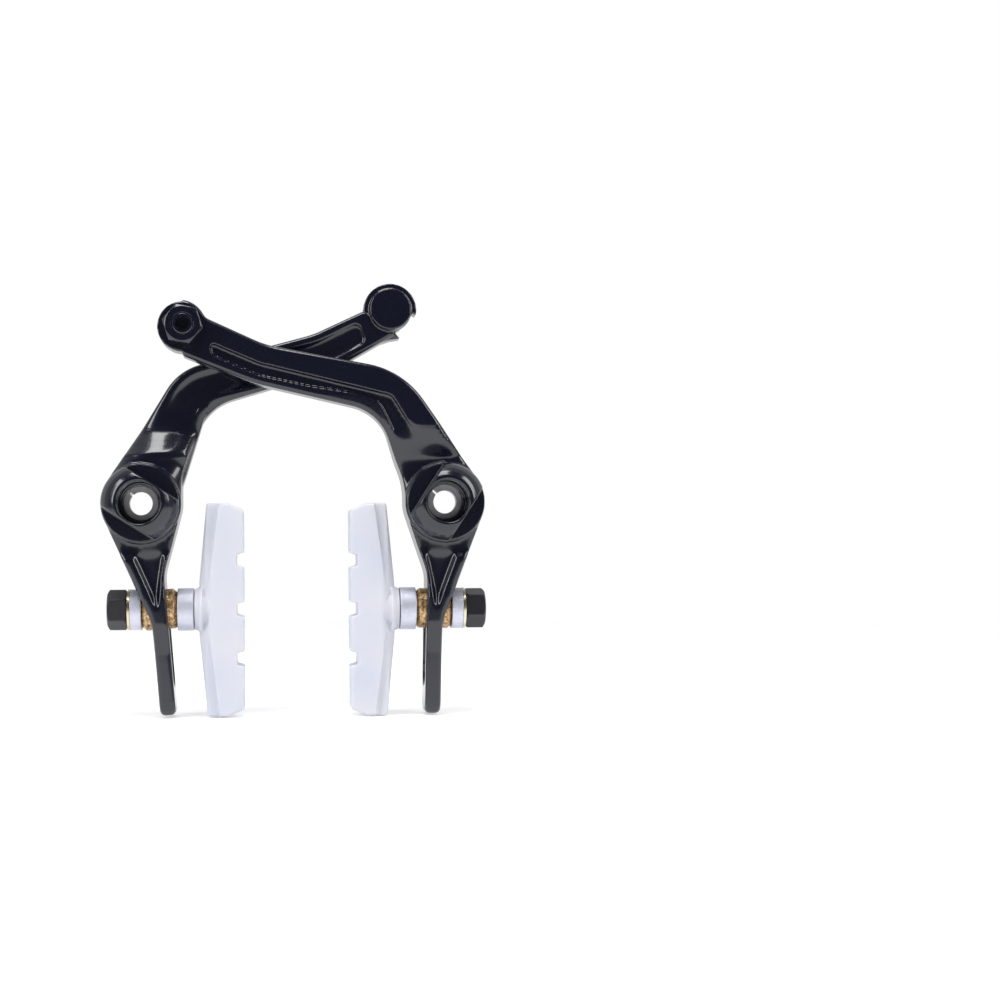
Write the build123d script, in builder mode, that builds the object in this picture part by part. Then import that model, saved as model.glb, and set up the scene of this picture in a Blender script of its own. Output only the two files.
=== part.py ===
from build123d import *
import os
from math import acos, asin, atan2, cos, degrees, hypot, radians, sin, sqrt, tan

# U-brake for a bicycle. Millimetres. X runs to the right, Z up, and -Y points to the front.
# The origin lies midway between the two pivots, in the plane of the frame's bosses.
# Depth is measured forward from that plane. On each arm, u runs inward from its pivot and v runs up.

# Pivots
pivot_spacing = 85.5
stud_bore_radius = 4.55
stud_bore_length = 11.0
running_gap = 0.03
face_gap = 0.1

# Boss of each arm
boss_wall = 2.0
boss_rear = 2.2
boss_front = 16.0
recess_floor = 7.6

# Crossing arms, as depths of their faces
back_arm_rear = 2.0
back_arm_front = 9.4
front_arm_rear = 10.8
front_arm_front = 18.5
arm_edge_round = 1.2
shoulder_start = 12.6
shoulder_end = 21.0
shoulder_round = 5.0

# Leg below each pivot
plate_offset = 2.4
plate_thickness = 4.55
leg_length = 60.0
leg_outer_normal = 199.6
leg_inner_normal = -19.8
leg_rear = 3.0
leg_tip_front = 15.0
leg_neck = 20.6
leg_neck_round = 12.0
leg_knee = 34.0
leg_knee_round = 20.0
leg_tip_round = 1.5
leg_tip_side_round = 4.0
left_lean = 4.6
right_lean = 1.4

# Channel down the front of each leg
channel_top = 13.0
channel_outer = -4.6
channel_inner = 6.4
channel_end = (2.0, -31.5)
channel_rounds = [1.5, 1.5, 0.6]
channel_depth = 1.8
channel_taper = 40

# Slot for the shoe post
post_drop = 30.2
post_depth = 9.1
slot_clearance = 0.3
slot_rise = 1.2
slot_end_wall = 7.9

# Corners of the front arm's outline in u and v, with their radii
front_outer = [(11.9, 36.9), (50.2, 44.0), (71.5, 53.7)]
front_outer_rounds = [24, 30, 0]
front_inner = [(76.0, 42.0), (53.6, 33.2), (18.9, 25.1)]
front_inner_rounds = [0, 40, 14]
front_neck = 5.2
front_neck_round = 20

# Corners of the back arm's outline in u and v, with their radii
back_outer = [(10.45, 38.05), (48.7, 48.2), (68.0, 57.1)]
back_outer_rounds = [16, 25, 0]
back_inner = [(72.0, 48.0), (54.9, 38.15), (18.5, 27.4)]
back_inner_rounds = [0, 40, 15]
back_neck = 8.4
back_neck_round = 12

# Groove along the front arm
groove_upper = [(65.4, 44.6), (52.0, 38.7), (15.0, 30.2), (6.9, 17.0)]
groove_upper_rounds = [1.3, 20, 6, 1.5]
groove_lower = [(12.0, 15.9), (17.5, 27.4), (52.0, 35.7), (65.4, 41.6)]
groove_lower_rounds = [1.5, 5, 20, 1.3]
groove_depth = 1.1
groove_taper = 20

# Shallow dish along the back arm
dish_upper = [(4.7, 23.5), (11.9, 36.0), (49.5, 46.0), (62.0, 51.9)]
dish_upper_rounds = [2, 13, 25, 2]
dish_lower = [(64.0, 45.8), (54.0, 40.3), (16.6, 29.2), (14.4, 23.5)]
dish_lower_rounds = [2, 40, 12, 2]
dish_depth = 0.8
dish_taper = 40

# Cable anchor on the front arm
eye_place = (74.3, 49.1)
eye_radius = 7.6
eye_neck_round = 3.0
anchor_offset = 1.2
anchor_bolt_radius = 3.0
anchor_hole_clearance = 0.2
anchor_head_radius = 4.7
anchor_head_height = 2.4
anchor_washer_radius = 6.0
anchor_washer_thickness = 1.0
anchor_nut_height = 4.6
anchor_nut_turn = 12.6
anchor_end_proud = 0.2
anchor_end_chamfer = 0.4
anchor_socket_flats = 3.6
anchor_socket_depth = 2.5

# Cable hook on the back arm
hook_place = (70.8, 55.2)
hook_radius = 7.6
hook_wall_front = 8.0
hook_cap_radius = 5.8
hook_cap_front = 10.4
hook_cap_chamfer = 0.7
hook_barrel_radius = 3.7
hook_barrel_length = 4.6
hook_slot_width = 3.0
hook_mouth_start = -16.0
hook_mouth_end = -72.0
hook_mouth_floor = 6.2
arm_top_room = 2.0

# Tension sleeve: barrel, domed head with wrench flats, counterbore
barrel_lip = 0.6
head_setback = 0.9
head_rim_front = 18.2
head_crown_front = 21.5
head_dome_radius = 13.5
head_flats = 13.0
ledge_front = 17.3
bolt_seat_width = 0.9
counterbore_floor = 15.6
shoulder_step = 0.2
shoulder_floor = 14.2
rim_chamfer = 0.5
left_flats_turn = -32.0
right_flats_turn = 56.5

# Split bush in the sleeve, round the fixing bolt
bolt_hole_radius = 3.25
split_bush_length = 3.0
split_seat_step = 0.25
split_bush_slit = 0.7
split_bush_turn = 135.0

# Bearing bush between sleeve and arm
bearing_wall = 0.8

# Return spring and the cap behind it
wire_radius = 0.65
spring_inner_gap = 0.42
spring_coils = 2.5
spring_leg_length = 1.6
leg_hole_clearance = 0.1
spring_cap_overlap = 1.3
spring_cap_thickness = 2.0
spring_cap_chamfer = 0.3
spring_cap_holes = 4

# Shoe hardware, measured along the post from the middle of the plate
post_radius = 3.0
dome_radius = 5.65
dome_bore_radius = 3.9
dome_rim = 1.72
seat_clearance = 0.05
cup_room = 1.0
inner_cup_radius = 6.0
inner_cup_length = 4.6
outer_cup_radius = 5.75
outer_cup_length = 3.25
flat_washer_radius = 5.8
flat_washer_thickness = 0.7
hardware_clearance = 0.25

# Nuts
nut_flats = 10.0
nut_height = 5.7
nut_chamfer_angle = 30.0
nut_chamfer_start = 4.7
left_nut_turn = 0.0
right_nut_turn = 12.0

# Shoe
shoe_length = 60.0
shoe_depth = 10.4
shoe_back_slope = 1.5
shoe_width = 12.0
shoe_end_bevel = 1.7
shoe_end_run = 4.5
shoe_ridge_width = 6.0
shoe_eaves_rise = 3.3
shoe_corner_round = 0.8
shoe_neck_gap = 0.2
shoe_neck_length = 2.1
shoe_neck_radius = 6.0
notch_pitch = 13.9
notch_depth = 2.1
notch_mouth = 4.2
notch_floor = 3.2
post_head_radius = 4.6
post_head_cover = 2.6
post_head_thickness = 2.4
post_end_setback = 0.35
post_tip_chamfer = 0.6

half_spacing = pivot_spacing / 2
split_seat_radius = stud_bore_radius + split_seat_step
shoulder_radius = split_seat_radius + shoulder_step
counterbore_radius = shoulder_radius + bolt_seat_width
barrel_radius = counterbore_radius + barrel_lip
boss_bore_radius = barrel_radius + running_gap + bearing_wall
spring_radius = boss_bore_radius + spring_inner_gap + wire_radius
recess_radius = spring_radius + wire_radius + hardware_clearance
spring_cap_radius = recess_radius + spring_cap_overlap
boss_radius = recess_radius + boss_wall
head_radius = boss_radius - head_setback

plate_outer = plate_offset - plate_thickness / 2
plate_inner = plate_offset + plate_thickness / 2
slot_radius = post_radius + slot_clearance
slot_fall = leg_length - post_drop - slot_radius - slot_end_wall
slot_run = slot_rise + slot_fall

dome_flat = plate_thickness / 2 + seat_clearance
seat_radius = hypot(dome_radius, dome_flat + dome_rim)
cup_start = dome_flat + dome_rim + cup_room
inner_cup_end = cup_start + inner_cup_length
outer_cup_end = cup_start + outer_cup_length
nut_end = outer_cup_end + flat_washer_thickness + nut_height
post_end = nut_end - post_end_setback
shoe_neck_start = inner_cup_end + shoe_neck_gap
shoe_roof = shoe_neck_start + shoe_neck_length
shoe_back = shoe_roof + shoe_back_slope
shoe_face = shoe_back + shoe_depth
shoe_eaves = shoe_roof + shoe_eaves_rise
post_head_start = shoe_roof + post_head_cover

arm_top = hook_place[1] + hook_radius + arm_top_room
anchor_place = (eye_place[0] - anchor_offset, eye_place[1])
edge_pick_room = 0.01
eye_pick_room = 0.4

os.makedirs("parts", exist_ok=True)


def front(depth):
    """Sketch plane at a depth in front of the frame's bosses, facing forward."""
    return Plane.XZ.offset(depth)


def spot(side, u, v):
    """Sketch point for an arm's own u and v. side is 1 on the left and -1 on the right."""
    return (side * (u - half_spacing), v)


def swung(u, v, angle):
    """The point (u, v) swung about the pivot, positive with the shoe end moving inward."""
    a = radians(angle)
    return (u * cos(a) - v * sin(a), u * sin(a) + v * cos(a))


def boss_corner(first_normal, second_normal):
    """Corner of the two lines that touch the boss where its normals have these angles."""
    half = radians(second_normal - first_normal) / 2
    middle = radians(second_normal + first_normal) / 2
    reach = boss_radius / cos(half)
    return (reach * cos(middle), reach * sin(middle))


def tangent_normal(u, v):
    """Angle of the boss's normal where the line from the point (u, v) touches its outer side."""
    return degrees(atan2(v, u) + acos(boss_radius / hypot(u, v)))


def post_place(side, lean):
    """World point in the middle of the plate, on the axis of the shoe post."""
    x, z = spot(side, *swung(plate_offset, -post_drop, lean))
    return (x, -post_depth, z)


def plate_plane(side, lean, down):
    """Plane in the middle of the slotted plate: its X runs up the leg, its Z points inward."""
    x, z = spot(side, *swung(plate_offset, -down, lean))
    up = swung(0, 1, lean)
    inward = swung(1, 0, lean)
    return Plane(
        origin=(x, -post_depth, z),
        x_dir=(side * up[0], 0, up[1]),
        z_dir=(side * inward[0], 0, inward[1]),
    )


def rounded_face(side, corners, rounds):
    """Adds the face inside these corners in u and v, each rounded with its radius."""
    with BuildLine() as outline:
        FilletPolyline(*[spot(side, u, v) for u, v in corners], radius=rounds, close=True)
    make_face(outline.edges())


def arm_outline(side, lean, outer, outer_rounds, inner, inner_rounds, neck, neck_round):
    """Adds an arm's front outline: boss, bent upper arm and leg, as lines joined by arcs."""
    leg = [
        swung(plate_inner, -leg_neck, lean),
        swung(plate_inner, -leg_length, lean),
        swung(plate_outer, -leg_length, lean),
        swung(plate_outer, -leg_knee, lean),
    ]
    leg_rounds = [leg_neck_round, leg_tip_round, leg_tip_round, leg_knee_round]
    outer_boss = boss_corner(tangent_normal(*outer[0]), leg_outer_normal + lean)
    inner_boss = boss_corner(0, leg_inner_normal + lean)
    rounded_face(
        side,
        [outer_boss, *outer, *inner, (boss_radius, neck), inner_boss, *leg],
        [boss_radius, *outer_rounds, *inner_rounds, neck_round, boss_radius, *leg_rounds],
    )


def side_outline(upper_rear, upper_front):
    """Adds an arm's side outline: leg, boss, and the upper arm stepped back or forward."""
    corners = [
        (boss_rear, shoulder_start),
        (upper_rear, shoulder_end),
        (upper_rear, arm_top),
        (upper_front, arm_top),
        (upper_front, shoulder_end),
        (boss_front, shoulder_start),
        (boss_front, -leg_knee),
        (leg_tip_front, -leg_knee - leg_tip_side_round * 2),
        (leg_tip_front, -leg_length),
        (leg_rear, -leg_length),
        (leg_rear, -leg_neck),
        (boss_rear, -boss_radius),
    ]
    shoulder = [shoulder_round] * 2
    rounds = [*shoulder, 0, 0, *shoulder, *shoulder, leg_tip_side_round, leg_tip_side_round, *shoulder]
    with BuildLine() as outline:
        FilletPolyline(*[(-depth, v) for depth, v in corners], radius=rounds, close=True)
    make_face(outline.edges())


def rim_edges(arm):
    """The long edges round an arm's front and rear faces."""
    return arm.edges().filter_by(Axis.X, reverse=True).filter_by(Axis.Y, reverse=True)


def cut_leg(side, lean):
    """Cuts the post's slot, the flat for the outer washers and the front channel into a leg."""
    middle = plate_plane(side, lean, post_drop + (slot_fall - slot_rise) / 2)
    with BuildSketch(middle) as slot:
        SlotCenterToCenter(slot_run, slot_radius * 2)
    extrude(slot.sketch, amount=plate_thickness * 2, both=True, mode=Mode.SUBTRACT)
    seat = outer_cup_radius + hardware_clearance
    lift = outer_cup_end * sin(radians(lean)) + hardware_clearance
    with BuildSketch(middle.offset(-plate_thickness / 2)) as washer_flat:
        with Locations((lift / 2, 0)):
            SlotCenterToCenter(slot_run + lift, seat * 2)
            with Locations((0, -side * seat)):
                Rectangle(slot_run + lift + seat * 2, seat * 2)
    extrude(washer_flat.sketch, amount=-boss_radius, mode=Mode.SUBTRACT)
    with BuildSketch(front(boss_front)) as channel:
        rounded_face(
            side,
            [
                swung(channel_outer, -channel_top, lean),
                swung(channel_inner, -channel_top, lean),
                swung(*channel_end, lean),
            ],
            channel_rounds,
        )
    extrude(channel.sketch, amount=-channel_depth, taper=channel_taper, mode=Mode.SUBTRACT)


def cut_boss(side):
    """Bores a boss for its bearing bush and opens the spring's recess at the rear."""
    with BuildSketch(front(boss_rear)) as recess:
        with Locations(spot(side, 0, 0)):
            Circle(recess_radius)
    extrude(recess.sketch, amount=recess_floor - boss_rear, mode=Mode.SUBTRACT)
    with BuildSketch(front(boss_rear)) as bore:
        with Locations(spot(side, 0, 0)):
            Circle(boss_bore_radius)
    extrude(bore.sketch, amount=boss_front, mode=Mode.SUBTRACT)
    with BuildSketch(front(recess_floor)) as leg_hole:
        with Locations(spot(side, 0, spring_radius)):
            Circle(wire_radius + leg_hole_clearance)
    extrude(leg_hole.sketch, amount=spring_leg_length + wire_radius, mode=Mode.SUBTRACT)


# Back arm, on the left pivot
with BuildPart() as back_casting:
    with BuildSketch(front(0)):
        arm_outline(
            1,
            left_lean,
            back_outer,
            back_outer_rounds,
            back_inner,
            back_inner_rounds,
            back_neck,
            back_neck_round,
        )
    extrude(amount=boss_front)
    with BuildSketch(Plane.YZ):
        side_outline(back_arm_rear, back_arm_front)
    extrude(amount=pivot_spacing, both=True, mode=Mode.INTERSECT)
    fillet(rim_edges(back_casting), radius=arm_edge_round)
    with BuildSketch(front(back_arm_front)):
        rounded_face(1, dish_upper + dish_lower, dish_upper_rounds + dish_lower_rounds)
    extrude(amount=-dish_depth, taper=dish_taper, mode=Mode.SUBTRACT)
    # Hook: a cap on a wall with a mouth, and a seat for the cable's barrel behind it
    with BuildSketch(front(back_arm_rear)):
        with Locations(spot(1, *hook_place)):
            Circle(hook_radius)
    extrude(amount=hook_wall_front - back_arm_rear)
    with BuildSketch(front(back_arm_rear)):
        with BuildLine(Location(spot(1, *hook_place))):
            reach = hook_radius * 2
            start = PolarLine((0, 0), reach, hook_mouth_start)
            end = PolarLine((0, 0), reach, hook_mouth_end)
            Line(start @ 1, end @ 1)
        make_face()
        with Locations(spot(1, *hook_place)):
            Circle(hook_mouth_floor, mode=Mode.SUBTRACT)
    extrude(amount=hook_cap_front, mode=Mode.SUBTRACT)
    with BuildSketch(front(hook_wall_front - hook_cap_chamfer)):
        with Locations(spot(1, *hook_place)):
            Circle(hook_cap_radius)
    extrude(amount=hook_cap_front - hook_wall_front + hook_cap_chamfer)
    cap_rim = back_casting.edges().filter_by(
        lambda edge: abs(edge.center().Y + hook_cap_front) < edge_pick_room
    )
    chamfer(cap_rim, length=hook_cap_chamfer)
    with BuildSketch(front(back_arm_rear)):
        with Locations(Location(spot(1, *hook_place), (hook_mouth_start + hook_mouth_end) / 2)):
            Circle(hook_barrel_radius)
            with Locations((hook_radius / 2, 0)):
                Rectangle(hook_radius, hook_slot_width)
    extrude(amount=hook_barrel_length, mode=Mode.SUBTRACT)
    cut_leg(1, left_lean)
    cut_boss(1)

# The back arm's boss and leg, up to the end of its shoulder
with BuildPart() as left_arm:
    add(back_casting.part)
    split(bisect_by=Plane.XY.offset(shoulder_end), keep=Keep.BOTTOM)
left_arm.part.label = "left_arm"
export_step(left_arm.part, "parts/left_arm.step")

# The back arm's flat part that crosses behind the front arm, with the hook
with BuildPart() as left_upper_arm:
    add(back_casting.part)
    split(bisect_by=Plane.XY.offset(shoulder_end), keep=Keep.TOP)
left_upper_arm.part.label = "left_upper_arm"
export_step(left_upper_arm.part, "parts/left_upper_arm.step")

# Front arm, on the right pivot
with BuildPart() as right_arm:
    with BuildSketch(front(0)):
        arm_outline(
            -1,
            right_lean,
            front_outer,
            front_outer_rounds,
            front_inner,
            front_inner_rounds,
            front_neck,
            front_neck_round,
        )
    extrude(amount=front_arm_front)
    with BuildSketch(Plane.YZ):
        side_outline(front_arm_rear, front_arm_front)
    extrude(amount=pivot_spacing, both=True, mode=Mode.INTERSECT)
    # Eye for the cable anchor, blended into the arm
    eye_x, eye_z = spot(-1, *eye_place)
    with BuildSketch(front(front_arm_rear)):
        with Locations((eye_x, eye_z)):
            Circle(eye_radius)
    extrude(amount=front_arm_front - front_arm_rear)
    eye_neck = right_arm.edges().filter_by(Axis.Y).filter_by(
        lambda edge: abs(hypot(edge.center().X - eye_x, edge.center().Z - eye_z) - eye_radius) < eye_pick_room
    )
    fillet(eye_neck, radius=eye_neck_round)
    fillet(rim_edges(right_arm), radius=arm_edge_round)
    with BuildSketch(front(front_arm_front)):
        rounded_face(-1, groove_upper + groove_lower, groove_upper_rounds + groove_lower_rounds)
    extrude(amount=-groove_depth, taper=groove_taper, mode=Mode.SUBTRACT)
    with BuildSketch(front(front_arm_rear)):
        with Locations(spot(-1, *anchor_place)):
            Circle(anchor_head_radius + anchor_hole_clearance)
    extrude(amount=face_gap + anchor_head_height, mode=Mode.SUBTRACT)
    with BuildSketch(front(front_arm_rear)):
        with Locations(spot(-1, *anchor_place)):
            Circle(anchor_bolt_radius + anchor_hole_clearance)
    extrude(amount=front_arm_front, mode=Mode.SUBTRACT)
    cut_leg(-1, right_lean)
    cut_boss(-1)
right_arm.part.label = "right_arm"
export_step(right_arm.part, "parts/right_arm.step")


def ring(side, rear, end, outer, inner, edge=0.0):
    """Adds a ring on a pivot's axis between two depths, its outer edges broken by a chamfer."""
    x = spot(side, 0, 0)[0]
    corners = [
        (x + inner, -rear),
        (x + outer - edge, -rear),
        (x + outer, -rear - edge),
        (x + outer, -end + edge),
        (x + outer - edge, -end),
        (x + inner, -end),
    ]
    if edge == 0.0:
        corners = [corners[0], corners[1], corners[4], corners[5]]
    with BuildSketch() as section:
        with BuildLine() as outline:
            Polyline(*corners, close=True)
        make_face(outline.edges())
    revolve(section.sketch, axis=Axis((x, 0, 0), (0, 1, 0)))


def post_plane(side, lean, along):
    """Plane across a shoe post, its Z pointing to the rim, at a distance from the plate's middle."""
    x, y, z = post_place(side, lean)
    return Plane(origin=(x + side * along, y, z), x_dir=(0, 0, 1), z_dir=(side, 0, 0))


def axis_plane(side, lean, tilt):
    """Plane along a post's washers: its X points to the rim with this tilt, its Y is the radius."""
    inward = (side * cos(radians(tilt)), 0, sin(radians(tilt)))
    return Plane(origin=post_place(side, lean), x_dir=inward, z_dir=(0, -1, 0))


def domed_washer(side, lean, toward):
    """Adds the domed washer on one side of the plate. toward is 1 for the rim's side."""
    plane = axis_plane(side, lean, lean)
    start = degrees(asin(dome_bore_radius / seat_radius))
    end = degrees(asin(dome_radius / seat_radius))
    with BuildSketch(plane) as section:
        with BuildLine() as outline:
            dome = CenterArc((0, 0), seat_radius, start, end - start)
            Polyline(dome @ 1, (dome_flat, dome_radius), (dome_flat, dome_bore_radius), dome @ 0)
            if toward < 0:
                mirror(about=Plane.YZ, mode=Mode.REPLACE)
        make_face(outline.edges())
    revolve(section.sketch, axis=Axis(plane.origin, plane.x_dir))


def cupped_washer(side, lean, toward, radius, end):
    """Adds the cupped washer that rides on a domed one."""
    plane = axis_plane(side, lean, 0)
    seat = seat_radius + seat_clearance
    bore = post_radius + hardware_clearance
    start = degrees(asin(bore / seat))
    rim = degrees(acos(cup_start / seat))
    with BuildSketch(plane) as section:
        with BuildLine() as outline:
            cup = CenterArc((0, 0), seat, start, rim - start)
            Polyline(cup @ 1, (cup_start, radius), (end, radius), (end, bore), cup @ 0)
            if toward < 0:
                mirror(about=Plane.YZ, mode=Mode.REPLACE)
        make_face(outline.edges())
    revolve(section.sketch, axis=Axis(plane.origin, plane.x_dir))


def hex_nut(bottom, height, turn, bore):
    """Adds a nut on a plane, its corners cut back at both faces."""
    corner_radius = nut_flats / sqrt(3)
    drop = (corner_radius - nut_chamfer_start) * tan(radians(nut_chamfer_angle))
    with BuildSketch(bottom) as blank:
        RegularPolygon(corner_radius, 6, rotation=turn)
        Circle(bore, mode=Mode.SUBTRACT)
    extrude(blank.sketch, amount=height)
    axis = Axis(bottom.origin, bottom.z_dir)
    section_plane = Plane(origin=bottom.origin, x_dir=bottom.x_dir, z_dir=bottom.y_dir)
    with BuildSketch(section_plane) as section:
        with BuildLine() as outline:
            Polyline(
                (0, 0),
                (nut_chamfer_start, 0),
                (corner_radius, -drop),
                (corner_radius, drop - height),
                (nut_chamfer_start, -height),
                (0, -height),
                close=True,
            )
        make_face(outline.edges())
    revolve(section.sketch, axis=axis, mode=Mode.INTERSECT)


# Return spring of the left arm, its ends bent into the cap behind it and into the arm
left_pivot_x = spot(1, 0, 0)[0]
coil_room = recess_floor - boss_rear - wire_radius * 2
coil_height = coil_room - hardware_clearance * 2
coil_start = boss_rear + wire_radius + hardware_clearance
leg_height = spring_leg_length + wire_radius * 2
with BuildPart() as left_spring:
    with BuildLine() as coil:
        Helix(
            coil_height / spring_coils,
            coil_height,
            spring_radius,
            center=(left_pivot_x, -coil_start, 0),
            direction=(0, -1, 0),
        )
    with BuildSketch(Plane(origin=coil.line @ 0, z_dir=coil.line % 0)):
        Circle(wire_radius)
    sweep(path=coil.line)
    with BuildSketch(front(coil_start + wire_radius)):
        with Locations((left_pivot_x, -spring_radius)):
            Circle(wire_radius)
    extrude(amount=-leg_height)
    with BuildSketch(front(coil_start + coil_height - wire_radius)):
        with Locations((left_pivot_x, spring_radius)):
            Circle(wire_radius)
    extrude(amount=leg_height)

sides = [
    (1, "left", left_lean, left_flats_turn, left_nut_turn),
    (-1, "right", right_lean, right_flats_turn, right_nut_turn),
]
for side, name, lean, flats_turn, nut_turn in sides:
    pivot_x = spot(side, 0, 0)[0]

    # Bush pressed into the boss, running on the sleeve
    with BuildPart() as bearing_bush:
        ring(side, recess_floor, boss_front, boss_bore_radius, barrel_radius + running_gap)
    bearing_bush.part.label = f"{name}_bearing_bush"
    export_step(bearing_bush.part, f"parts/{name}_bearing_bush.step")

    # Tension sleeve
    with BuildPart() as tension_sleeve:
        with BuildSketch():
            with BuildLine():
                rim = (pivot_x + head_radius, -head_rim_front)
                crown = (pivot_x + counterbore_radius + rim_chamfer, -head_crown_front)
                RadiusArc(rim, crown, head_dome_radius)
                Polyline(
                    crown,
                    (pivot_x + counterbore_radius, -head_crown_front + rim_chamfer),
                    (pivot_x + counterbore_radius, -counterbore_floor),
                    (pivot_x + shoulder_radius, -counterbore_floor),
                    (pivot_x + shoulder_radius, -shoulder_floor),
                    (pivot_x + split_seat_radius, -shoulder_floor),
                    (pivot_x + split_seat_radius, -stud_bore_length),
                    (pivot_x + stud_bore_radius, -stud_bore_length),
                    (pivot_x + stud_bore_radius, 0),
                    (pivot_x + barrel_radius, 0),
                    (pivot_x + barrel_radius, -boss_front - face_gap),
                    (pivot_x + head_radius, -boss_front - face_gap),
                    rim,
                )
            make_face()
        revolve(axis=Axis((pivot_x, 0, 0), (0, 1, 0)))
        with BuildSketch(front(ledge_front)):
            with Locations(Location((pivot_x, 0), flats_turn)):
                Rectangle(head_radius * 2, head_radius * 2)
                Rectangle(head_radius * 2, head_flats, mode=Mode.SUBTRACT)
        extrude(amount=head_crown_front, mode=Mode.SUBTRACT)
    tension_sleeve.part.label = f"{name}_tension_sleeve"
    export_step(tension_sleeve.part, f"parts/{name}_tension_sleeve.step")

    # Split bush that centres the fixing bolt
    with BuildPart() as split_bush:
        ring(
            side,
            stud_bore_length + running_gap,
            stud_bore_length + running_gap + split_bush_length,
            split_seat_radius - running_gap,
            bolt_hole_radius,
        )
        with BuildSketch(front(stud_bore_length)):
            with Locations(Location((pivot_x, 0), split_bush_turn)):
                with Locations((split_seat_radius, 0)):
                    Rectangle(split_seat_radius * 2, split_bush_slit)
        extrude(amount=boss_front, mode=Mode.SUBTRACT)
    split_bush.part.label = f"{name}_split_bush"
    export_step(split_bush.part, f"parts/{name}_split_bush.step")

    # Return spring
    with BuildPart() as return_spring:
        if side > 0:
            add(left_spring.part)
        else:
            mirror(left_spring.part, about=Plane.YZ)
    return_spring.part.label = f"{name}_return_spring"
    export_step(return_spring.part, f"parts/{name}_return_spring.step")

    # Cap behind the spring, pressed on the sleeve
    with BuildPart() as spring_cap:
        ring(side, 0, spring_cap_thickness, spring_cap_radius, barrel_radius, spring_cap_chamfer)
        with BuildSketch(front(0)):
            with Locations((pivot_x, 0)):
                with PolarLocations(spring_radius, spring_cap_holes):
                    Circle(wire_radius + leg_hole_clearance)
        extrude(amount=spring_cap_thickness, mode=Mode.SUBTRACT)
    spring_cap.part.label = f"{name}_spring_cap"
    export_step(spring_cap.part, f"parts/{name}_spring_cap.step")

    # Domed and cupped washers on both sides of the slotted plate
    with BuildPart() as inner_dome:
        domed_washer(side, lean, 1)
    inner_dome.part.label = f"{name}_inner_dome"
    export_step(inner_dome.part, f"parts/{name}_inner_dome.step")

    with BuildPart() as outer_dome:
        domed_washer(side, lean, -1)
    outer_dome.part.label = f"{name}_outer_dome"
    export_step(outer_dome.part, f"parts/{name}_outer_dome.step")

    with BuildPart() as inner_cup:
        cupped_washer(side, lean, 1, inner_cup_radius, inner_cup_end)
    inner_cup.part.label = f"{name}_inner_cup"
    export_step(inner_cup.part, f"parts/{name}_inner_cup.step")

    with BuildPart() as outer_cup:
        cupped_washer(side, lean, -1, outer_cup_radius, outer_cup_end)
    outer_cup.part.label = f"{name}_outer_cup"
    export_step(outer_cup.part, f"parts/{name}_outer_cup.step")

    # Flat washer and nut on the post
    with BuildPart() as flat_washer:
        with BuildSketch(post_plane(side, lean, -outer_cup_end)):
            Circle(flat_washer_radius)
            Circle(post_radius + hardware_clearance, mode=Mode.SUBTRACT)
        extrude(amount=-flat_washer_thickness)
    flat_washer.part.label = f"{name}_flat_washer"
    export_step(flat_washer.part, f"parts/{name}_flat_washer.step")

    with BuildPart() as shoe_nut:
        hex_nut(post_plane(side, lean, -nut_end), nut_height, nut_turn, post_radius + running_gap)
    shoe_nut.part.label = f"{name}_shoe_nut"
    export_step(shoe_nut.part, f"parts/{name}_shoe_nut.step")

    # Threaded post, its head moulded into the shoe
    with BuildPart() as shoe_post:
        with BuildSketch(post_plane(side, lean, -post_end)):
            Circle(post_radius)
        extrude(amount=post_end + post_head_start + post_head_thickness)
        with BuildSketch(post_plane(side, lean, post_head_start)):
            Circle(post_head_radius)
        extrude(amount=post_head_thickness)
        tip = shoe_post.faces().sort_by(Axis.X)[0 if side > 0 else -1]
        chamfer(tip.edges(), length=post_tip_chamfer)
    shoe_post.part.label = f"{name}_shoe_post"
    export_step(shoe_post.part, f"parts/{name}_shoe_post.step")

    # Shoe, with a roof-shaped back and three notches in the face that grips the rim
    shoe_x, shoe_y, shoe_z = post_place(side, lean)
    half_length = shoe_length / 2
    half_width = shoe_width / 2
    with BuildPart() as shoe:
        with BuildSketch(Plane.XZ.offset(-shoe_y)):
            with BuildLine(Location((shoe_x, shoe_z))):
                Polyline(
                    (side * shoe_roof, shoe_neck_radius),
                    (side * shoe_back, half_length),
                    (side * (shoe_face - shoe_end_bevel), half_length),
                    (side * shoe_face, half_length - shoe_end_run),
                    (side * shoe_face, shoe_end_run - half_length),
                    (side * (shoe_face - shoe_end_bevel), -half_length),
                    (side * shoe_back, -half_length),
                    (side * shoe_roof, -shoe_neck_radius),
                    close=True,
                )
            make_face()
        extrude(amount=half_width, both=True)
        with BuildSketch(Plane.XY.offset(shoe_z)):
            with BuildLine(Location((shoe_x, shoe_y))):
                Polyline(
                    (side * shoe_roof, shoe_ridge_width / 2),
                    (side * shoe_eaves, half_width),
                    (side * shoe_face, half_width),
                    (side * shoe_face, -half_width),
                    (side * shoe_eaves, -half_width),
                    (side * shoe_roof, -shoe_ridge_width / 2),
                    close=True,
                )
            make_face()
        extrude(amount=shoe_length, both=True, mode=Mode.INTERSECT)
        fillet(shoe.edges(), radius=shoe_corner_round)
        for notch_z in (shoe_z - notch_pitch, shoe_z, shoe_z + notch_pitch):
            with BuildSketch(Plane.XZ.offset(-shoe_y)):
                with BuildLine(Location((shoe_x + side * shoe_face, notch_z))):
                    Polyline(
                        (0, notch_mouth / 2),
                        (-side * notch_depth, notch_floor / 2),
                        (-side * notch_depth, -notch_floor / 2),
                        (0, -notch_mouth / 2),
                        close=True,
                    )
                make_face()
            extrude(amount=shoe_width, both=True, mode=Mode.SUBTRACT)
        with BuildSketch(post_plane(side, lean, shoe_neck_start)):
            Circle(shoe_neck_radius)
        extrude(amount=shoe_roof + shoe_corner_round - shoe_neck_start)
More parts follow.
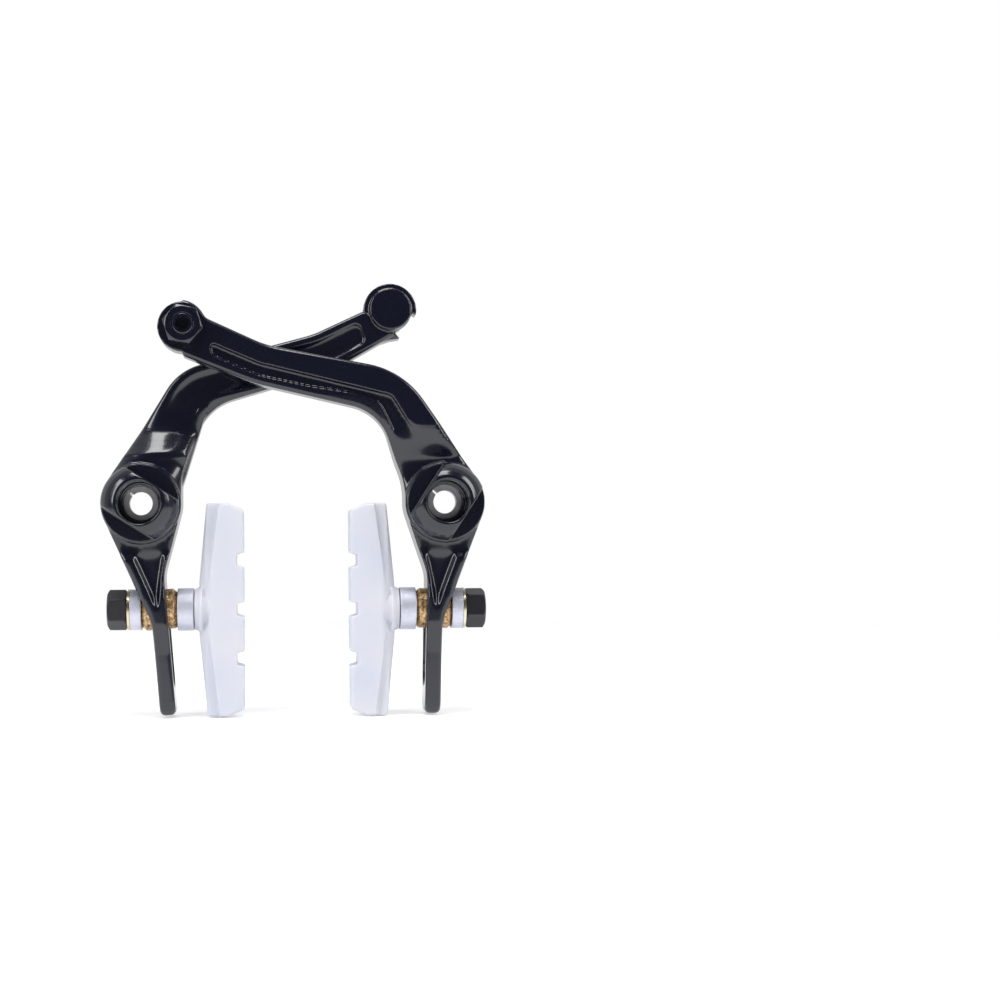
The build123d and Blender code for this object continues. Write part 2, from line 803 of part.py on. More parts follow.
        # Room for the moulded-in post
        with BuildSketch(post_plane(side, lean, shoe_neck_start)):
            Circle(post_radius)
        extrude(amount=post_head_start - shoe_neck_start, mode=Mode.SUBTRACT)
        with BuildSketch(post_plane(side, lean, post_head_start)):
            Circle(post_head_radius)
        extrude(amount=post_head_thickness, mode=Mode.SUBTRACT)
    shoe.part.label = f"{name}_shoe"
    export_step(shoe.part, f"parts/{name}_shoe.step")

# Cable anchor: bolt, washer and nut through the front arm's eye
anchor_x, anchor_z = spot(-1, *anchor_place)
head_rear = front_arm_rear + face_gap
washer_front = front_arm_front + anchor_washer_thickness
nut_front = washer_front + anchor_nut_height
with BuildPart() as anchor_bolt:
    with BuildSketch(front(head_rear)):
        with Locations((anchor_x, anchor_z)):
            Circle(anchor_head_radius)
    extrude(amount=anchor_head_height)
    with BuildSketch(front(head_rear)):
        with Locations((anchor_x, anchor_z)):
            Circle(anchor_bolt_radius)
    extrude(amount=nut_front + anchor_end_proud - head_rear)
    bolt_end = anchor_bolt.faces().sort_by(Axis.Y)[0]
    chamfer(bolt_end.edges(), length=anchor_end_chamfer)
    with BuildSketch(front(nut_front + anchor_end_proud)):
        with Locations((anchor_x, anchor_z)):
            RegularPolygon(anchor_socket_flats / 2, 6, major_radius=False, rotation=anchor_nut_turn)
    extrude(amount=-anchor_socket_depth, mode=Mode.SUBTRACT)
anchor_bolt.part.label = "anchor_bolt"
export_step(anchor_bolt.part, "parts/anchor_bolt.step")

with BuildPart() as anchor_washer:
    with BuildSketch(front(front_arm_front)):
        with Locations((anchor_x, anchor_z)):
            Circle(anchor_washer_radius)
            Circle(anchor_bolt_radius + anchor_hole_clearance, mode=Mode.SUBTRACT)
    extrude(amount=anchor_washer_thickness)
anchor_washer.part.label = "anchor_washer"
export_step(anchor_washer.part, "parts/anchor_washer.step")

with BuildPart() as anchor_nut:
    nut_plane = Plane(origin=(anchor_x, -washer_front, anchor_z), x_dir=(1, 0, 0), z_dir=(0, -1, 0))
    hex_nut(nut_plane, anchor_nut_height, anchor_nut_turn, anchor_bolt_radius + running_gap)
anchor_nut.part.label = "anchor_nut"
export_step(anchor_nut.part, "parts/anchor_nut.step")
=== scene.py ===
import bpy
from math import cos, radians, sin
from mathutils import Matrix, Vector


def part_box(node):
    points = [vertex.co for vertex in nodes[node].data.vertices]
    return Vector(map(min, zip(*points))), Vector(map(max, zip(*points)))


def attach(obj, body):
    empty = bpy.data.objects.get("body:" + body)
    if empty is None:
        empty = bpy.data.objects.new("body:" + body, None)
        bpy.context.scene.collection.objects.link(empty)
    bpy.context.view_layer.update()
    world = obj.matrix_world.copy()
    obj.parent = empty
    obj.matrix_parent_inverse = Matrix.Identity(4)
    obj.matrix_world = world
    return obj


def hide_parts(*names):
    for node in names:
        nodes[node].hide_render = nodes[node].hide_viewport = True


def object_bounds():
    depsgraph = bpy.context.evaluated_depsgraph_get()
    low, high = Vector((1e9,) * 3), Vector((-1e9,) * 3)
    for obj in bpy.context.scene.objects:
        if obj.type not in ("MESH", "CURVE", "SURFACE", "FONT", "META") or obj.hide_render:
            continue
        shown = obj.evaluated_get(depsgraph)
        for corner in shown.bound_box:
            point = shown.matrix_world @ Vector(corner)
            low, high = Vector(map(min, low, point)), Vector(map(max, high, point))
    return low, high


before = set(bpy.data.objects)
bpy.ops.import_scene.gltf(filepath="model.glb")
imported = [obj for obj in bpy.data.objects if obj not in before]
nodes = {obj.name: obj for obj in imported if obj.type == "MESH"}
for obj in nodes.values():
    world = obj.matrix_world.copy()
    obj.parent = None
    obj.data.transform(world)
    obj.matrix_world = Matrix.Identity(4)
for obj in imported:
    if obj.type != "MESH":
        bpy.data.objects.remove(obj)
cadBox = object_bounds()
sides = ("left", "right")


def deselectAll():
    for obj in bpy.context.selected_objects:
        obj.select_set(False)


def makeActive(obj):
    deselectAll()
    obj.select_set(True)
    bpy.context.view_layer.objects.active = obj


# Camera, square on to the brake's front and a little below its pivots
camera = {
    "place": (-0.00655, -0.46576, -0.01525),
    "lens": 57.74,
    "shift": (0.15, 0.054),
    "pitch": 0.09,
    "yaw": -2.83,
    "roll": 0.41,
    "sensor": 36,
    "clip": 0.01,
}


def addCamera(c):
    turn = (radians(90 + c["pitch"]), radians(c["roll"]), radians(c["yaw"]))
    bpy.ops.object.camera_add(location=c["place"], rotation=turn)
    cam = bpy.context.active_object
    cam.name = "photoCamera"
    cam.data.lens = c["lens"]
    cam.data.sensor_width = c["sensor"]
    cam.data.shift_x, cam.data.shift_y = c["shift"]
    cam.data.clip_start = c["clip"]
    bpy.context.scene.camera = cam


addCamera(camera)
print("camera done")

# Round floor just under the legs, fading into a white sky
stage = {
    "radius": 0.7,
    "edges": 96,
    "fade": (0.25, 0.68),
    "drop": 0.0003,
    "floorColour": (0.86, 0.86, 0.87, 1),
    "floorRoughness": 0.9,
    "floorLift": 0.42,
    "skyLight": 0.5,
    "gloss": (0.05, 0.75),
    "glossTurn": (-0.5, 0.45),
}


def addStage(c):
    low = min(corner[2] for corner in cadBox)
    place = (0, 0, low - c["drop"])
    bpy.ops.mesh.primitive_circle_add(vertices=c["edges"], radius=c["radius"], fill_type="NGON", location=place)
    floor = bpy.context.active_object
    floor.name = "floor"
    bpy.ops.object.transform_apply(location=True, rotation=True, scale=True)
    mat = bpy.data.materials.new("floorPaper")
    mat.use_nodes = True
    tree = mat.node_tree
    paper = tree.nodes["Principled BSDF"]
    paper.inputs["Base Color"].default_value = c["floorColour"]
    paper.inputs["Roughness"].default_value = c["floorRoughness"]
    paper.inputs["Specular IOR Level"].default_value = 0.0
    path = tree.nodes.new("ShaderNodeLightPath")
    seen = tree.nodes.new("ShaderNodeMath")
    seen.operation = "MAXIMUM"
    tree.links.new(path.outputs["Is Camera Ray"], seen.inputs[0])
    tree.links.new(path.outputs["Is Glossy Ray"], seen.inputs[1])
    lift = tree.nodes.new("ShaderNodeMath")
    lift.operation = "MULTIPLY"
    lift.inputs[1].default_value = c["floorLift"]
    tree.links.new(seen.outputs[0], lift.inputs[0])
    paper.inputs["Emission Color"].default_value = (1, 1, 1, 1)
    tree.links.new(lift.outputs[0], paper.inputs["Emission Strength"])
    place = tree.nodes.new("ShaderNodeTexCoord")
    reach = tree.nodes.new("ShaderNodeVectorMath")
    reach.operation = "LENGTH"
    tree.links.new(place.outputs["Object"], reach.inputs[0])
    fade = tree.nodes.new("ShaderNodeMapRange")
    fade.interpolation_type = "SMOOTHSTEP"
    fade.inputs["From Min"].default_value, fade.inputs["From Max"].default_value = c["fade"]
    tree.links.new(reach.outputs["Value"], fade.inputs["Value"])
    clear = tree.nodes.new("ShaderNodeBsdfTransparent")
    mix = tree.nodes.new("ShaderNodeMixShader")
    tree.links.new(fade.outputs["Result"], mix.inputs["Fac"])
    tree.links.new(paper.outputs["BSDF"], mix.inputs[1])
    tree.links.new(clear.outputs["BSDF"], mix.inputs[2])
    tree.links.new(mix.outputs["Shader"], tree.nodes["Material Output"].inputs["Surface"])
    floor.data.materials.append(mat)


def addSky(c):
    world = bpy.data.worlds.new("studio")
    bpy.context.scene.world = world
    world.use_nodes = True
    tree = world.node_tree
    sky = tree.nodes["Background"]
    sky.inputs["Color"].default_value = (1, 1, 1, 1)
    path = tree.nodes.new("ShaderNodeLightPath")
    seen = tree.nodes.new("ShaderNodeMath")
    seen.operation = "MAXIMUM"
    tree.links.new(path.outputs["Is Camera Ray"], seen.inputs[0])
    tree.links.new(path.outputs["Is Transmission Ray"], seen.inputs[1])
    # Reflections see a white room that is darker in front of the brake
    place = tree.nodes.new("ShaderNodeTexCoord")
    parts = tree.nodes.new("ShaderNodeSeparateXYZ")
    tree.links.new(place.outputs["Generated"], parts.inputs["Vector"])
    room = tree.nodes.new("ShaderNodeMapRange")
    room.interpolation_type = "SMOOTHSTEP"
    room.inputs["From Min"].default_value, room.inputs["From Max"].default_value = c["glossTurn"]
    room.inputs["To Min"].default_value, room.inputs["To Max"].default_value = c["gloss"]
    tree.links.new(parts.outputs["Y"], room.inputs["Value"])
    lit = tree.nodes.new("ShaderNodeMix")
    lit.inputs[2].default_value = c["skyLight"]
    tree.links.new(path.outputs["Is Glossy Ray"], lit.inputs[0])
    tree.links.new(room.outputs["Result"], lit.inputs[3])
    level = tree.nodes.new("ShaderNodeMix")
    level.inputs[3].default_value = 1.0
    tree.links.new(seen.outputs[0], level.inputs[0])
    tree.links.new(lit.outputs[0], level.inputs[2])
    tree.links.new(level.outputs[0], sky.inputs["Strength"])


addStage(stage)
addSky(stage)

# Soft boxes
lamps = [
    {"name": "topBox", "place": (-0.05, -0.2, 0.6), "size": (0.35, 0.25), "watts": 2.2},
    {"name": "leftBox", "place": (-0.5, -0.35, 0.25), "size": (0.15, 0.5), "watts": 1.6},
    {"name": "rightBox", "place": (0.55, -0.3, 0.3), "size": (0.15, 0.5), "watts": 1.5},
]


def addLamps(boxes):
    for c in boxes:
        aim = Vector((0, 0, 0)) - Vector(c["place"])
        turn = aim.to_track_quat("-Z", "Y").to_euler()
        bpy.ops.object.light_add(type="AREA", location=c["place"], rotation=turn)
        lamp = bpy.context.active_object
        lamp.name = c["name"]
        lamp.data.shape = "RECTANGLE"
        lamp.data.size, lamp.data.size_y = c["size"]
        lamp.data.energy = c["watts"]


addLamps(lamps)
bpy.context.scene.view_settings.view_transform = "Standard"
print("stage and lamps done")


# Materials: a noise grain on object coordinates drives roughness, tint and bump
def addNoise(tree, scale, detail):
    place = tree.nodes.new("ShaderNodeTexCoord")
    noise = tree.nodes.new("ShaderNodeTexNoise")
    noise.inputs["Scale"].default_value = scale
    noise.inputs["Detail"].default_value = detail
    tree.links.new(place.outputs["Object"], noise.inputs["Vector"])
    return noise.outputs["Fac"]


def addRamp(tree, source, stops):
    ramp = tree.nodes.new("ShaderNodeValToRGB")
    tree.links.new(source, ramp.inputs["Fac"])
    for edge, (at, colour) in zip(ramp.color_ramp.elements, stops):
        edge.position = at
        edge.color = (*colour, 1)
    for at, colour in stops[2:]:
        ramp.color_ramp.elements.new(at).color = (*colour, 1)
    return ramp.outputs["Color"]


def addSpread(tree, source, low, high):
    level = tree.nodes.new("ShaderNodeMapRange")
    level.inputs["To Min"].default_value = low
    level.inputs["To Max"].default_value = high
    tree.links.new(source, level.inputs["Value"])
    return level.outputs["Result"]


def addBump(tree, source, height):
    bump = tree.nodes.new("ShaderNodeBump")
    bump.inputs["Distance"].default_value = height
    tree.links.new(source, bump.inputs["Height"])
    return bump.outputs["Normal"]


# Noises are (scale, detail); colour and roughness are the plain values under a tint or spread
finishes = [
    {
        "name": "glossBlackPaint", "pieces": ("arm", "tension_sleeve"),
        "colour": (0.004, 0.005, 0.014), "roughness": 0.2,
        "sockets": {"Coat Weight": 0.5, "Coat Roughness": 0.06},
        "grain": (380, 2), "bump": 0.00001, "wear": (60, 4), "spread": (0.17, 0.24),
    },
    {
        "name": "satinSilver", "pieces": ("inner_cup", "outer_cup"),
        "colour": (0.66, 0.67, 0.76), "roughness": 0.35, "sockets": {"Metallic": 1.0},
        "grain": (1400, 4), "bump": 0.00006, "wear": (1400, 4), "spread": (0.5, 0.72),
    },
    {
        "name": "roughGold", "pieces": ("inner_dome", "outer_dome"),
        "colour": (0.5, 0.35, 0.2), "roughness": 0.45, "sockets": {"Metallic": 1.0},
        "grain": (1500, 5), "bump": 0.00012, "cloud": (1500, 5),
        "tint": [(0.3, (0.09, 0.05, 0.025)), (0.48, (0.42, 0.27, 0.13)), (0.7, (0.78, 0.58, 0.36))],
    },
    {
        "name": "mattBlackNut", "pieces": ("shoe_nut",),
        "colour": (0.012, 0.012, 0.016), "roughness": 0.42,
        "grain": (1200, 4), "bump": 0.00002, "wear": (1200, 4), "spread": (0.34, 0.5),
    },
    {
        "name": "yellowZinc", "pieces": ("flat_washer",),
        "colour": (0.62, 0.55, 0.36), "roughness": 0.3, "sockets": {"Metallic": 1.0},
        "cloud": (300, 3), "tint": [(0.35, (0.62, 0.52, 0.3)), (0.65, (0.7, 0.68, 0.6))],
    },
    {
        "name": "rawSteel", "pieces": ("split_bush", "return_spring", "shoe_post"),
        "colour": (0.5, 0.5, 0.53), "roughness": 0.35, "sockets": {"Metallic": 1.0},
        "wear": (700, 4), "spread": (0.25, 0.45),
    },
    {
        "name": "whiteRubber", "pieces": ("shoe",),
        "colour": (0.68, 0.68, 0.74), "roughness": 0.42,
        "sockets": {"Subsurface Weight": 0.35, "Subsurface Scale": 0.003, "Subsurface Radius": (0.8, 0.9, 1.0)},
        "grain": (500, 4), "bump": 0.00003,
        "cloud": (40, 2), "tint": [(0.3, (0.62, 0.65, 0.75)), (0.7, (0.72, 0.72, 0.76))],
    },
    {
        "name": "blackPlastic", "pieces": ("spring_cap",),
        "colour": (0.012, 0.012, 0.013), "roughness": 0.5, "grain": (800, 3), "bump": 0.00002,
    },
    {
        "name": "naturalPlastic", "pieces": ("bearing_bush",),
        "colour": (0.55, 0.53, 0.48), "roughness": 0.5, "grain": (800, 3), "bump": 0.00002,
    },
]


def makeFinish(c):
    mat = bpy.data.materials.new(c["name"])
    mat.use_nodes = True
    tree = mat.node_tree
    sockets = tree.nodes["Principled BSDF"].inputs
    sockets["Base Color"].default_value = (*c["colour"], 1)
    sockets["Roughness"].default_value = c["roughness"]
    for name, value in c.get("sockets", {}).items():
        sockets[name].default_value = value
    if "wear" in c:
        tree.links.new(addSpread(tree, addNoise(tree, *c["wear"]), *c["spread"]), sockets["Roughness"])
    if "cloud" in c:
        tree.links.new(addRamp(tree, addNoise(tree, *c["cloud"]), c["tint"]), sockets["Base Color"])
    if "grain" in c:
        tree.links.new(addBump(tree, addNoise(tree, *c["grain"]), c["bump"]), sockets["Normal"])
    return mat


def setFinish(obj, piece):
    obj.data.materials.clear()
    obj.data.materials.append(finishOf[piece])


finishOf = {}
for c in finishes:
    mat = makeFinish(c)
    for piece in c["pieces"]:
        finishOf[piece] = mat
        for side in sides:
            setFinish(nodes[f"{side}_{piece}"], piece)
for node in ("left_upper_arm", "anchor_bolt", "anchor_washer", "anchor_nut"):
    setFinish(nodes[node], "arm")
print("materials done")


# Shaping. Millimetres: u runs inward from an arm's pivot, v up, depth forward
mm = 0.001
halfSpacing = 42.75
signs = {"left": 1, "right": -1}
weldGap = 0.000002
sameSpot = 0.00001
roundEdges = 96
spinSteps = 120
cornerSteps = 8


def armPoint(side, u, v, depth):
    return Vector((signs[side] * (u - halfSpacing), -depth, v)) * mm


def flatPlace(vert, side):
    return signs[side] * vert.co.x / mm + halfSpacing, vert.co.z / mm


def editAll():
    bpy.ops.object.mode_set(mode="EDIT")
    bpy.ops.mesh.select_all(action="SELECT")


def tidyNormals():
    editAll()
    bpy.ops.mesh.remove_doubles(threshold=weldGap)
    bpy.ops.mesh.normals_make_consistent(inside=False)
    bpy.ops.object.mode_set(mode="OBJECT")


def addOutline(points, fill):
    deselectAll()
    bpy.ops.mesh.primitive_circle_add(vertices=len(points), radius=0.01, fill_type=fill)
    piece = bpy.context.active_object
    for vert, point in zip(piece.data.vertices, points):
        vert.co = point
    return piece


def addPrism(side, corners, rear, front, rounds=None):
    block = addOutline([armPoint(side, u, v, rear) for u, v in corners], "NGON")
    for (u, v), size in zip(corners, rounds or []):
        if size:
            corner = armPoint(side, u, v, rear)
            for vert in block.data.vertices:
                vert.select = (vert.co - corner).length < sameSpot
            bpy.ops.object.mode_set(mode="EDIT")
            bpy.ops.mesh.bevel(offset=size * mm, segments=cornerSteps, affect="VERTICES")
            bpy.ops.mesh.select_all(action="DESELECT")
            bpy.ops.object.mode_set(mode="OBJECT")
    editAll()
    bpy.ops.mesh.extrude_region_move(TRANSFORM_OT_translate={"value": (0, (rear - front) * mm, 0)})
    tidyNormals()
    return block


def addDisc(side, u, v, radius, rear, front):
    deselectAll()
    place = armPoint(side, u, v, (rear + front) / 2)
    size = (front - rear) * mm
    bpy.ops.mesh.primitive_cylinder_add(
        vertices=roundEdges, radius=radius * mm, depth=size, location=place, rotation=(radians(90), 0, 0)
    )
    bpy.ops.object.transform_apply(location=True, rotation=True, scale=True)
    return bpy.context.active_object


def addTurned(side, profile):
    x = armPoint(side, 0, 0, 0).x
    ring = addOutline([Vector((x + r * mm, -depth * mm, 0)) for r, depth in profile], "NOTHING")
    editAll()
    bpy.ops.mesh.spin(steps=spinSteps, angle=radians(360), center=(x, 0, 0), axis=(0, 1, 0))
    bpy.ops.object.mode_set(mode="OBJECT")
    tidyNormals()
    return ring


def combine(piece, tool, operation="DIFFERENCE"):
    makeActive(piece)
    change = piece.modifiers.new("shape", "BOOLEAN")
    change.operation = operation
    change.object = tool
    bpy.ops.object.modifier_apply(modifier=change.name)
    bpy.data.objects.remove(tool)
    return piece


def copyNode(node):
    makeActive(nodes[node])
    bpy.ops.object.duplicate()
    tidyNormals()
    return bpy.context.active_object


def soften(piece, voxel, rounds):
    makeActive(piece)
    skin = piece.modifiers.new("skin", "REMESH")
    skin.mode = "VOXEL"
    skin.voxel_size = voxel * mm
    bpy.ops.object.modifier_apply(modifier=skin.name)
    soft = piece.modifiers.new("soft", "SMOOTH")
    soft.factor = 0.5
    soft.iterations = rounds
    bpy.ops.object.modifier_apply(modifier=soft.name)
    bpy.ops.object.shade_smooth()


def blendDepth(piece, side, zone, c):
    low, high, inner, rounds = zone
    group = piece.vertex_groups.new(name="zone")
    for vert in piece.data.vertices:
        u, v = flatPlace(vert, side)
        away = Vector((u, v)).length - c["bossReach"]
        weight = min(1, away, (v - low) / c["zoneEdge"], (high - v) / c["zoneEdge"], (inner - u) / c["zoneEdge"])
        if weight > 0:
            group.add([vert.index], weight, "REPLACE")
    swell = piece.modifiers.new("depthOnly", "SMOOTH")
    swell.factor = 0.5
    swell.iterations = rounds
    swell.use_x = swell.use_z = False
    swell.vertex_group = group.name
    bpy.ops.object.modifier_apply(modifier=swell.name)
    piece.vertex_groups.clear()


def crownNeck(piece, side, c):
    low, high = c["crownSpan"]
    bossFade, lowFade, highFade = c["crownFades"]
    for vert in piece.data.vertices:
        u, v = flatPlace(vert, side)
        away = Vector((u, v)).length - c["bossReach"]
        fade = min(1, away / bossFade, (v - low) / lowFade, (high - v) / highFade)
        if fade > 0:
            off = min(c["crownLimit"], (u - c["neckLean"] * v) / c["neckHalf"])
            front = -vert.co.y / mm / c["bodyFront"]
            vert.co.y += c["crown"][side] * mm * fade * front * off * off


def finishPiece(piece, name, body, finish, *replaced):
    piece.name = name
    setFinish(piece, finish)
    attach(piece, body)
    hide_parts(*replaced)


# Arms: raised bosses on lower necks and legs, groove, hook and eye. Depths are (rear, front);
# ramps are (from v, slope's length) below and above the boss; zones are (from v, to v, to u, passes)
arms = {
    "voxel": 0.33,
    "rounds": 5,
    "bossRadius": 11.3,
    "bossDepth": (10, 22),
    "bossReach": 11.7,
    "bodyFront": 14.6,
    "bodyTop": 20,
    "bodySpan": (-25, 30),
    "ramps": {"left": [(-14, 7), (12, 15)], "right": [(-14, 7), (12.5, 9)]},
    "zones": {
        "left": [(2, 32, 90, 160), (22, 52, 62, 40), (-27, -9, 90, 60)],
        "right": [(2, 23, 90, 100), (-27, -9, 90, 60)],
    },
    "zoneEdge": 3,
    "crown": {"left": 2.4, "right": 0.4},
    "crownSpan": (1, 30),
    "crownFades": (3, 4, 8),
    "crownLimit": 1.2,
    "neckLean": 0.33,
    "neckHalf": 8.5,
    "neckFill": [(11.0, 3.8), (18.6, 27.6), (16.0, 27.0), (8.0, 8.0)],
    "neckFillDepth": (3.4, 10.2),
    "grooveFill": [
        (67.5, 45.4), (52.2, 39.9), (14.5, 31.2), (8.0, 21.5),
        (15.5, 21.5), (19.5, 26.9), (52.2, 34.6), (67.2, 40.8),
    ],
    "grooveFillDepth": (16.9, 18.5),
    "groove": [
        (65.6, 44.6), (52.2, 38.9), (15.1, 29.9), (7.2, 16.9), (11.9, 14.8),
        (18.6, 28.0), (27.0, 30.7), (38.2, 32.4), (52.2, 35.4), (65.6, 41.2),
    ],
    "grooveRounds": [1.3, 4, 5, 1.5, 1.5, 4, 6, 6, 4, 1.3],
    "grooveDepth": (17.25, 20.0),
    "eye": (73.4, 49.1, 7.0),
    "eyeDepth": (6, 24),
    "eyeTrim": 20,
    "eyeTrimDepth": (8, 22),
    "hook": (70.8, 55.2),
    "hookCap": (5.9, 7.2, 10.4),
    "hookBore": (6.35, -1, 13),
    "hookMouth": [(76.3, 55.3), (82.0, 50.3), (76.0, 44.4), (71.2, 49.95)],
    "hookMouthDepth": (0, 12),
    "hookHorn": [(68.2, 45.8), (70.8, 46.7), (74.0, 47.2), (72.2, 48.8), (69.0, 50.0)],
    "hookHornDepth": (2.1, 7.9),
    "hookStep": [(62.8, 54.65), (65.65, 53.2), (70.8, 55.2), (66.0, 62.0), (60.0, 58.0)],
    "hookStepDepth": (8.0, 12.0),
}


def lowerNeck(piece, side, c):
    (bottom, fall), (top, rise) = c["ramps"][side]
    outer, inner = c["bodySpan"]
    corners = [(outer, bottom), (inner, bottom), (inner, top), (outer, top)]
    face = addPrism(side, corners, c["bodyFront"], c["bodyTop"])
    halfway = -(c["bodyFront"] + c["bodyTop"]) / 2 * mm
    for vert in face.data.vertices:
        if vert.co.y < halfway:
            vert.co.z += (rise if vert.co.z > 0 else -fall) * mm
    combine(face, addDisc(side, 0, 0, c["bossRadius"], *c["bossDepth"]))
    return combine(piece, face)


def finishArm(arm, side, c, *replaced):
    soften(arm, c["voxel"], c["rounds"])
    crownNeck(arm, side, c)
    for zone in c["zones"][side]:
        blendDepth(arm, side, zone, c)
    finishPiece(arm, f"{side}ArmCast", f"{side}_brake_arm", "arm", *replaced)


def castLeftArm(c):
    arm = lowerNeck(copyNode("left_arm"), "left", c)
    upper = combine(copyNode("left_upper_arm"), addPrism("left", c["hookStep"], *c["hookStepDepth"]))
    horn = addPrism("left", c["hookHorn"], *c["hookHornDepth"])
    cap = addDisc("left", *c["hook"], *c["hookCap"])
    for piece in (upper, horn):
        mouth = addPrism("left", c["hookMouth"], *c["hookMouthDepth"])
        combine(mouth, addDisc("left", *c["hook"], *c["hookBore"]))
        combine(piece, mouth)
    fill = addPrism("left", c["neckFill"], *c["neckFillDepth"])
    makeActive(arm)
    for piece in (upper, horn, cap, fill):
        piece.select_set(True)
    bpy.ops.object.join()
    finishArm(arm, "left", c, "left_arm", "left_upper_arm")


def castRightArm(c):
    arm = lowerNeck(copyNode("right_arm"), "right", c)
    combine(arm, addPrism("right", c["grooveFill"], *c["grooveFillDepth"]), "UNION")
    combine(arm, addPrism("right", c["groove"], *c["grooveDepth"], c["grooveRounds"]))
    u, v, radius = c["eye"]
    past = c["eyeTrim"]
    corners = [(u, v - past), (u + past, v - past), (u + past, v + past), (u, v + past)]
    trim = addPrism("right", corners, *c["eyeTrimDepth"])
    combine(trim, addDisc("right", u, v, radius, *c["eyeDepth"]))
    combine(arm, trim)
    finishArm(arm, "right", c, "right_arm")


castLeftArm(arms)
castRightArm(arms)
print("arms done")

# Tension sleeves: domed heads with wrench flats
sleeve = {
    "profile": [
        (4.55, 0), (6.5, 0), (6.5, 16.1), (10.8, 16.1), (10.85, 19.2), (10.3, 20.3), (9.4, 21.5), (8.3, 22.5),
        (7.2, 23.15), (6.5, 23.4), (6.05, 23.25), (5.9, 22.9), (5.9, 15.6), (5.0, 15.6), (5.0, 14.2), (4.8, 14.2),
        (4.8, 11.0), (4.55, 11.0),
    ],
    "flats": 12.6,
    "reach": 20,
    "ledge": (17.8, 26),
    "turns": {"left": -32.0, "right": 56.5},
    "voxel": 0.2,
    "rounds": 4,
}


def makeSleeve(side, c):
    head = addTurned(side, c["profile"])
    turn = radians(c["turns"][side])
    across = Vector((cos(turn), sin(turn)))
    away = Vector((-sin(turn), cos(turn)))
    for way in (1, -1):
        near = away * way * c["flats"] / 2
        long, deep = across * c["reach"], away * way * c["reach"]
        corners = [near - long, near + long, near + long + deep, near - long + deep]
        combine(head, addPrism(side, [(p.x * signs[side], p.y) for p in corners], *c["ledge"]))
    soften(head, c["voxel"], c["rounds"])
    finishPiece(head, f"{side}SleeveTurned", f"{side}_tensioner", "tension_sleeve", f"{side}_tension_sleeve")


for side in sides:
    makeSleeve(side, sleeve)
print("sleeves done")

# Shoes: moulded blocks with bevelled ends, sloping back, notches and a flared neck
shoe = {
    "roof": 11.2,
    "face": 23.845,
    "neck": 9.845,
    "neckRadius": 5.9,
    "flare": 7.6,
    "length": 60,
    "width": 12,
    "ridge": 6,
    "eaves": 3.3,
    "backSlope": 2.25,
    "endBevel": (4.6, 1.9),
    "corner": 0.7,
    "cornerSteps": 3,
    "flankStep": [(9, 3), (13.2, 3), (17.0, 31), (9, 31)],
    "flankHalf": 4.8,
    "notches": (-13.9, 0, 13.9),
    "notchSize": (4.2, 3.2, 2.1),
    "notchPast": (1, 0.2),
    "flareSpan": (-0.6, 0.9),
    "axis": {"left": (4.814, -29.91), "right": (3.137, -30.132)},
    "depth": 9.1,
    "through": (0, 20),
    "voxel": 0.3,
    "rounds": 3,
}


def cutFlat(point, normal):
    editAll()
    bpy.ops.mesh.bisect(plane_co=point, plane_no=Vector(normal).normalized(), use_fill=True, clear_outer=True)
    bpy.ops.object.mode_set(mode="OBJECT")


def addBlock(side, c):
    sign = signs[side]
    u, v = c["axis"][side]
    deselectAll()
    middle = armPoint(side, u + (c["roof"] + c["face"]) / 2, v, c["depth"])
    bpy.ops.mesh.primitive_cube_add(size=1, location=middle)
    block = bpy.context.active_object
    block.scale = ((c["face"] - c["roof"]) * mm, c["width"] * mm, c["length"] * mm)
    bpy.ops.object.transform_apply(location=True, rotation=True, scale=True)
    halfLong, halfWide = c["length"] / 2, c["width"] / 2
    bevelX, bevelZ = c["endBevel"]
    run, slope = halfLong - c["flare"], c["backSlope"]
    rise, eaves = halfWide - c["ridge"] / 2, c["eaves"]
    for way in (1, -1):
        cutFlat(armPoint(side, u + c["face"], v + way * (halfLong - bevelZ), 0), (sign * bevelZ, 0, way * bevelX))
        cutFlat(armPoint(side, u + c["roof"], v + way * c["flare"], 0), (-sign * run, 0, way * slope))
        cutFlat(armPoint(side, u + c["roof"], v, c["depth"] - way * c["ridge"] / 2), (-sign * rise, way * eaves, 0))
    editAll()
    bpy.ops.mesh.bevel(offset=c["corner"] * mm, segments=c["cornerSteps"])
    bpy.ops.object.mode_set(mode="OBJECT")
    return block


def addCone(side, near, far, small, large, c):
    u, v = c["axis"][side]
    deselectAll()
    middle = armPoint(side, u + (near + far) / 2, v, c["depth"])
    turn = (0, radians(90 * signs[side]), 0)
    size = (far - near) * mm
    bpy.ops.mesh.primitive_cone_add(
        vertices=roundEdges, radius1=small * mm, radius2=large * mm, depth=size, location=middle, rotation=turn
    )
    bpy.ops.object.transform_apply(location=True, rotation=True, scale=True)
    return bpy.context.active_object


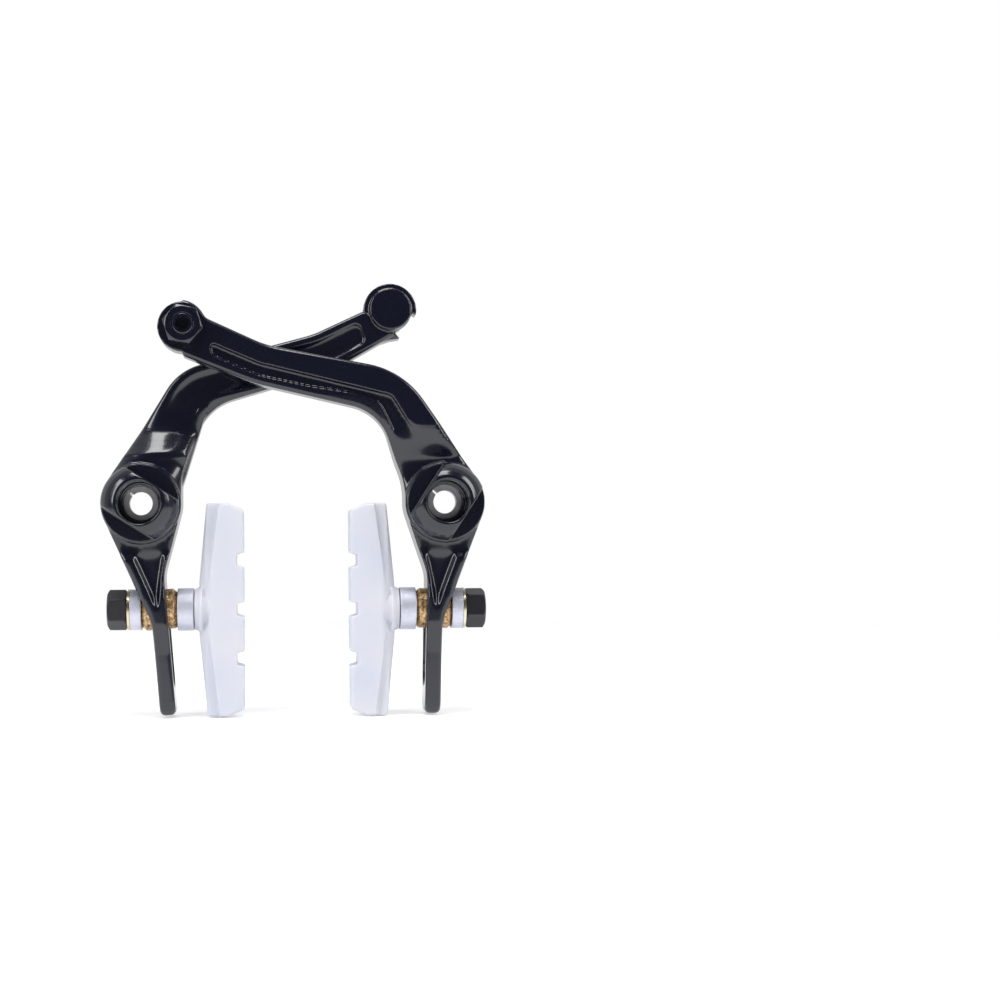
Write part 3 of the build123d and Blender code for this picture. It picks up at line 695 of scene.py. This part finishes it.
def makeShoe(side, c):
    u, v = c["axis"][side]
    block = addBlock(side, c)
    mouth, bottom, deep = c["notchSize"]
    past, wider = c["notchPast"]
    rear, front = c["through"]
    face = u + c["face"]
    for place in c["notches"]:
        corners = [
            (face + past, v + place + mouth / 2 + wider), (face - deep, v + place + bottom / 2),
            (face - deep, v + place - bottom / 2), (face + past, v + place - mouth / 2 - wider),
        ]
        combine(block, addPrism(side, corners, rear, front))
    for way in (1, -1):
        step = [(u + d, v + way * z) for d, z in c["flankStep"]]
        combine(block, addPrism(side, step, c["depth"] + c["flankHalf"], front))
        combine(block, addPrism(side, step, rear, c["depth"] - c["flankHalf"]))
    neck = addCone(side, c["neck"], c["roof"] + c["eaves"], c["neckRadius"], c["neckRadius"], c)
    combine(block, neck, "UNION")
    near, far = (c["roof"] + d for d in c["flareSpan"])
    combine(block, addCone(side, near, far, c["neckRadius"], c["flare"], c), "UNION")
    soften(block, c["voxel"], c["rounds"])
    finishPiece(block, f"{side}ShoeMoulding", f"{side}_brake_shoe", "shoe", f"{side}_shoe")


for side in sides:
    makeShoe(side, shoe)
print("shoes done")

# Small hardware with broken edges
small = {
    "nut": {"voxel": 0.14, "rounds": 5},
    "cup": {"voxel": 0.14, "rounds": 7},
    "anchorTurn": -25.0,
}


def breakEdges(node, size, name, finish):
    piece = copyNode(node)
    soften(piece, size["voxel"], size["rounds"])
    side = node.split("_")[0]
    finishPiece(piece, name, f"{side}_swivel", finish, node)


for side in sides:
    breakEdges(f"{side}_shoe_nut", small["nut"], f"{side}ShoeNutForged", "shoe_nut")
    for place in ("inner", "outer"):
        breakEdges(f"{side}_{place}_cup", small["cup"], f"{side}{place.title()}CupTurned", "inner_cup")
anchorNut = copyNode("anchor_nut")
low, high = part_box("anchor_nut")
middle = (Vector(low) + Vector(high)) / 2
editAll()
bpy.ops.transform.rotate(value=radians(small["anchorTurn"]), orient_axis="Y", center_override=middle)
bpy.ops.object.mode_set(mode="OBJECT")
soften(anchorNut, small["nut"]["voxel"], small["nut"]["rounds"])
finishPiece(anchorNut, "anchorNutForged", "right_brake_arm", "arm", "anchor_nut")
print("hardware done")

deselectAll()
bpy.context.view_layer.update()
